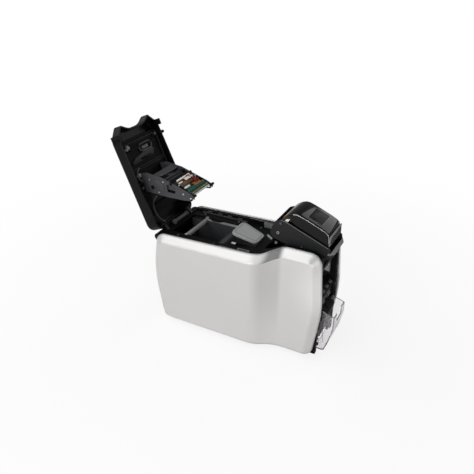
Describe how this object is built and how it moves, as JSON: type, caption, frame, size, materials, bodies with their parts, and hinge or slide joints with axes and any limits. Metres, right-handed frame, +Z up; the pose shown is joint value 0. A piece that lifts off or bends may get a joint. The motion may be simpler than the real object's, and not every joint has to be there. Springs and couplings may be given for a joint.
{
  "type": "card printer",
  "caption": "Desktop plastic-card printer with a raised hinged lid, tilting card feeder, ribbon bay, print head and clear output hopper.",
  "frame": {"origin": "on the table under the middle of the casing, centred between the side panels", "axes": "+X to the right as seen from the front, +Y to the rear, +Z up; the card exit is at -Y"},
  "size_m": [0.172, 0.467, 0.3989],
  "materials": {
    "silver_panel": "satin silver paint",
    "black_casing": "semi-gloss",
    "dark_moulding": "fine texture",
    "grey_moulding": "matte",
    "light_grey": "matte",
    "rubber": "matte",
    "steel": "plated",
    "clear_plastic": "clear",
    "smoky_plastic": "smoky, glossy",
    "circuit_green": "solder mask",
    "chip_black": "matte",
    "ceramic": "glazed",
    "alloy": "satin",
    "white_plastic": "matte",
    "amber_film": "film"
  },
  "bodies": {
    "chassis": {"right_side_panel": "silver_panel", "left_side_panel": "silver_panel", "base_tray": "black_casing", "rubber_feet": "rubber", "rear_cover": "black_casing", "deck_frame": "black_casing", "hinge_pins": "steel", "front_frame": "black_casing", "feeder_pivot_pins": "steel", "card_exit": "black_casing", "hopper_back_plate": "grey_moulding", "hopper_pins": "steel", "right_chassis_plate": "steel", "left_chassis_plate": "steel", "transport_belt": "rubber", "drive_motor": "steel", "main_circuit_board": "circuit_green", "board_chips": "chip_black", "power_socket": "chip_black", "network_socket": "chip_black", "usb_socket": "chip_black", "power_switch_case": "chip_black", "fan_frame": "dark_moulding", "ribbon_bay_tub": "dark_moulding", "ribbon_bay_frame": "light_grey", "latch_pockets": "light_grey"},
    "lid": {"lid_shell": "black_casing", "lid_liner": "dark_moulding", "head_arms": "steel", "arm_cross_braces": "steel", "head_shaft": "steel"},
    "head": {"head_carrier": "steel", "head_circuit_board": "circuit_green", "heating_strip": "ceramic", "head_heat_sink": "alloy", "head_connector": "white_plastic", "head_flat_cable": "amber_film"},
    "feeder": {"feeder_cradle": "dark_moulding", "feeder_lip": "grey_moulding", "hood_pins": "steel"},
    "hood": {"feeder_hood": "smoky_plastic", "hood_front_face": "grey_moulding"},
    "hopper": {"output_hopper": "clear_plastic"},
    "platen": {"platen_roller": "rubber"},
    "print_roller": {"print_roller": "rubber", "drive_gear": "white_plastic"},
    "cleaning_transport": {"cleaning_transport_roller": "rubber"},
    "feed_roller": {"feed_roller": "rubber"},
    "motor_pinion": {"motor_pinion": "white_plastic"},
    "exit_roller": {"exit_roller": "rubber"},
    "pick_roller": {"pick_roller": "rubber"},
    "print_pinch": {"print_pinch_roller": "rubber"},
    "feed_pinch": {"feed_pinch_roller": "rubber"},
    "supply_hub": {"ribbon_supply_hub": "grey_moulding"},
    "take_up_hub": {"ribbon_take_up_hub": "grey_moulding"},
    "fan": {"fan_rotor": "dark_moulding"},
    "rocker": {"power_rocker": "chip_black"},
    "cassette": {"cassette_grip": "light_grey", "cassette_body": "dark_moulding"},
    "cassette_roller": {"cassette_roller": "rubber"}
  },
  "joints": [
    {"name": "lid_hinge", "type": "hinge", "parent": "chassis", "child": "lid", "pos_m": [0, 0.18, 0.208], "axis": [1, 0, 0], "range_deg": [0, 112.4]},
    {"name": "head_pivot", "type": "hinge", "parent": "lid", "child": "head", "pos_m": [0, 0.18563, 0.2888], "axis": [1, 0, 0], "range_deg": [0, 3], "stiffness_Nm_per_rad": 4, "springref_deg": -2.86},
    {"name": "feeder_tilt", "type": "hinge", "parent": "chassis", "child": "feeder", "pos_m": [0, -0.154, 0.218], "axis": [-1, 0, 0], "range_deg": [0, 22]},
    {"name": "hood_hinge", "type": "hinge", "parent": "feeder", "child": "hood", "pos_m": [0, -0.07005, 0.26648], "axis": [1, 0, 0], "range_deg": [-60, 0]},
    {"name": "cassette_lift", "type": "slide", "parent": "chassis", "child": "cassette", "axis": [0, 0, -1], "range_m": [-0.09, 0]},
    {"name": "hopper_tilt", "type": "hinge", "parent": "chassis", "child": "hopper", "pos_m": [0, -0.155, 0.035], "axis": [-1, 0, 0], "range_deg": [-25, 0]},
    {"name": "power_rocker_tilt", "type": "hinge", "parent": "chassis", "child": "rocker", "pos_m": [0.032, 0.181, 0.062], "axis": [1, 0, 0], "range_deg": [0, 12]},
    {"name": "print_roller_spin", "type": "hinge", "parent": "chassis", "child": "print_roller", "pos_m": [0, 0.07, 0.111], "axis": [1, 0, 0], "continuous": true},
    {"name": "platen_spin", "type": "hinge", "parent": "chassis", "child": "platen", "pos_m": [0, 0.1444, 0.111], "axis": [1, 0, 0], "continuous": true},
    {"name": "cleaning_transport_spin", "type": "hinge", "parent": "chassis", "child": "cleaning_transport", "pos_m": [0, 0.002, 0.111], "axis": [1, 0, 0], "continuous": true},
    {"name": "feed_roller_spin", "type": "hinge", "parent": "chassis", "child": "feed_roller", "pos_m": [0, -0.07, 0.111], "axis": [1, 0, 0], "continuous": true},
    {"name": "motor_spin", "type": "hinge", "parent": "chassis", "child": "motor_pinion", "pos_m": [0, 0.07, 0.0901], "axis": [1, 0, 0], "continuous": true},
    {"name": "exit_roller_spin", "type": "hinge", "parent": "chassis", "child": "exit_roller", "pos_m": [0, -0.149, 0.111], "axis": [1, 0, 0], "continuous": true},
    {"name": "pick_roller_spin", "type": "hinge", "parent": "chassis", "child": "pick_roller", "pos_m": [0, -0.095, 0.192], "axis": [1, 0, 0], "continuous": true},
    {"name": "print_pinch_spin", "type": "hinge", "parent": "chassis", "child": "print_pinch", "pos_m": [0, 0.07, 0.1243], "axis": [1, 0, 0], "continuous": true},
    {"name": "feed_pinch_spin", "type": "hinge", "parent": "chassis", "child": "feed_pinch", "pos_m": [0, -0.07, 0.1243], "axis": [1, 0, 0], "continuous": true},
    {"name": "supply_hub_spin", "type": "hinge", "parent": "chassis", "child": "supply_hub", "pos_m": [0, 0.062, 0.165], "axis": [1, 0, 0], "continuous": true},
    {"name": "take_up_hub_spin", "type": "hinge", "parent": "chassis", "child": "take_up_hub", "pos_m": [0, 0.157, 0.163], "axis": [1, 0, 0], "continuous": true},
    {"name": "fan_spin", "type": "hinge", "parent": "chassis", "child": "fan", "pos_m": [0, 0.168, 0.131], "axis": [0, 1, 0], "continuous": true},
    {"name": "cassette_roller_spin", "type": "hinge", "parent": "cassette", "child": "cassette_roller", "pos_m": [0, 0.002, 0.1316], "axis": [1, 0, 0], "continuous": true}
  ],
  "couplings": [
    {"joint": "platen_spin", "follows": "print_roller_spin", "ratio": 1},
    {"joint": "cleaning_transport_spin", "follows": "print_roller_spin", "ratio": 1},
    {"joint": "feed_roller_spin", "follows": "print_roller_spin", "ratio": 1},
    {"joint": "motor_spin", "follows": "print_roller_spin", "ratio": -3.3333}
  ]
}
